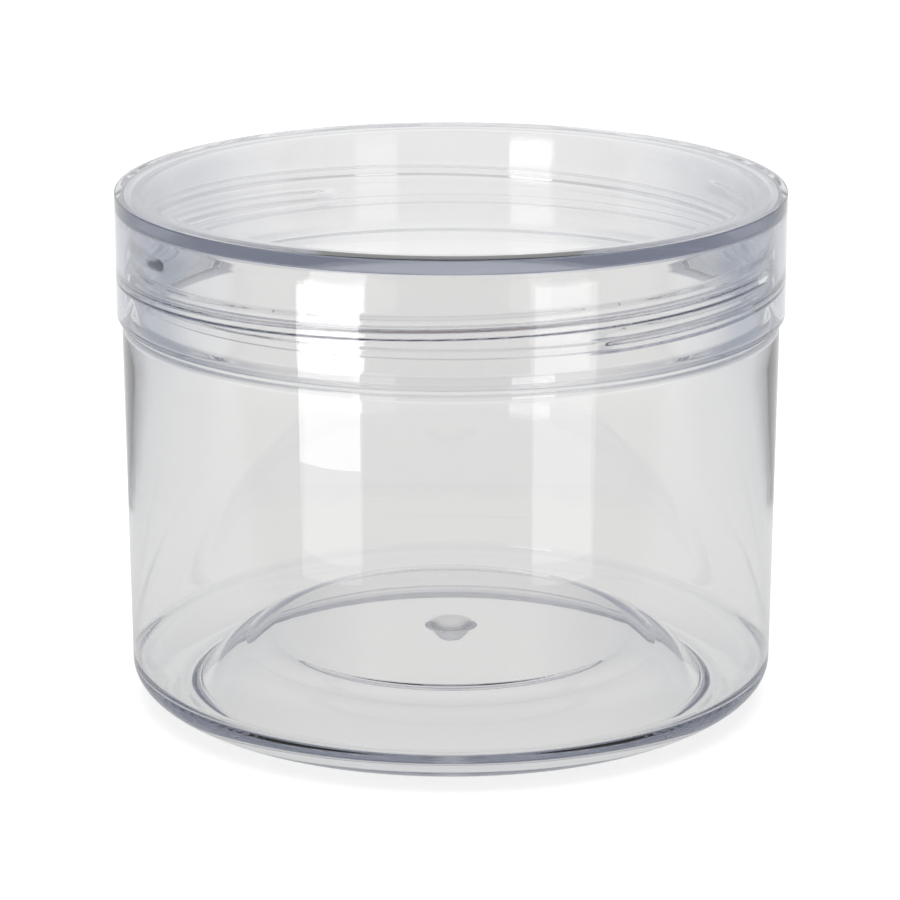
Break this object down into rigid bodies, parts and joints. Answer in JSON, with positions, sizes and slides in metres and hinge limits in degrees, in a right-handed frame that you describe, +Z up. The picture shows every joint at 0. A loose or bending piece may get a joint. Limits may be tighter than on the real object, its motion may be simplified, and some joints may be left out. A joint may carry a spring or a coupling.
{
  "type": "screw-top storage jar",
  "caption": "Low, wide clear plastic jar with a pushed-up base, a screw-thread neck and a flat clear screw lid.",
  "frame": {"origin": "centre of the standing ring, on the plane that the jar stands on", "axes": "+Z up along the jar's axis, towards the lid; the front of the picture faces -Y"},
  "size_m": [0.12, 0.12, 0.0936],
  "materials": {
    "jar_plastic": "gloss",
    "lid_plastic": "gloss"
  },
  "bodies": {
    "jar": {"jar_body": "jar_plastic"},
    "lid": {"lid": "lid_plastic"}
  },
  "joints": [
    {"name": "lid_lift", "type": "slide", "parent": "jar", "child": "lid", "axis": [0, 0, 1], "range_m": [0, 0.035]}
  ]
}
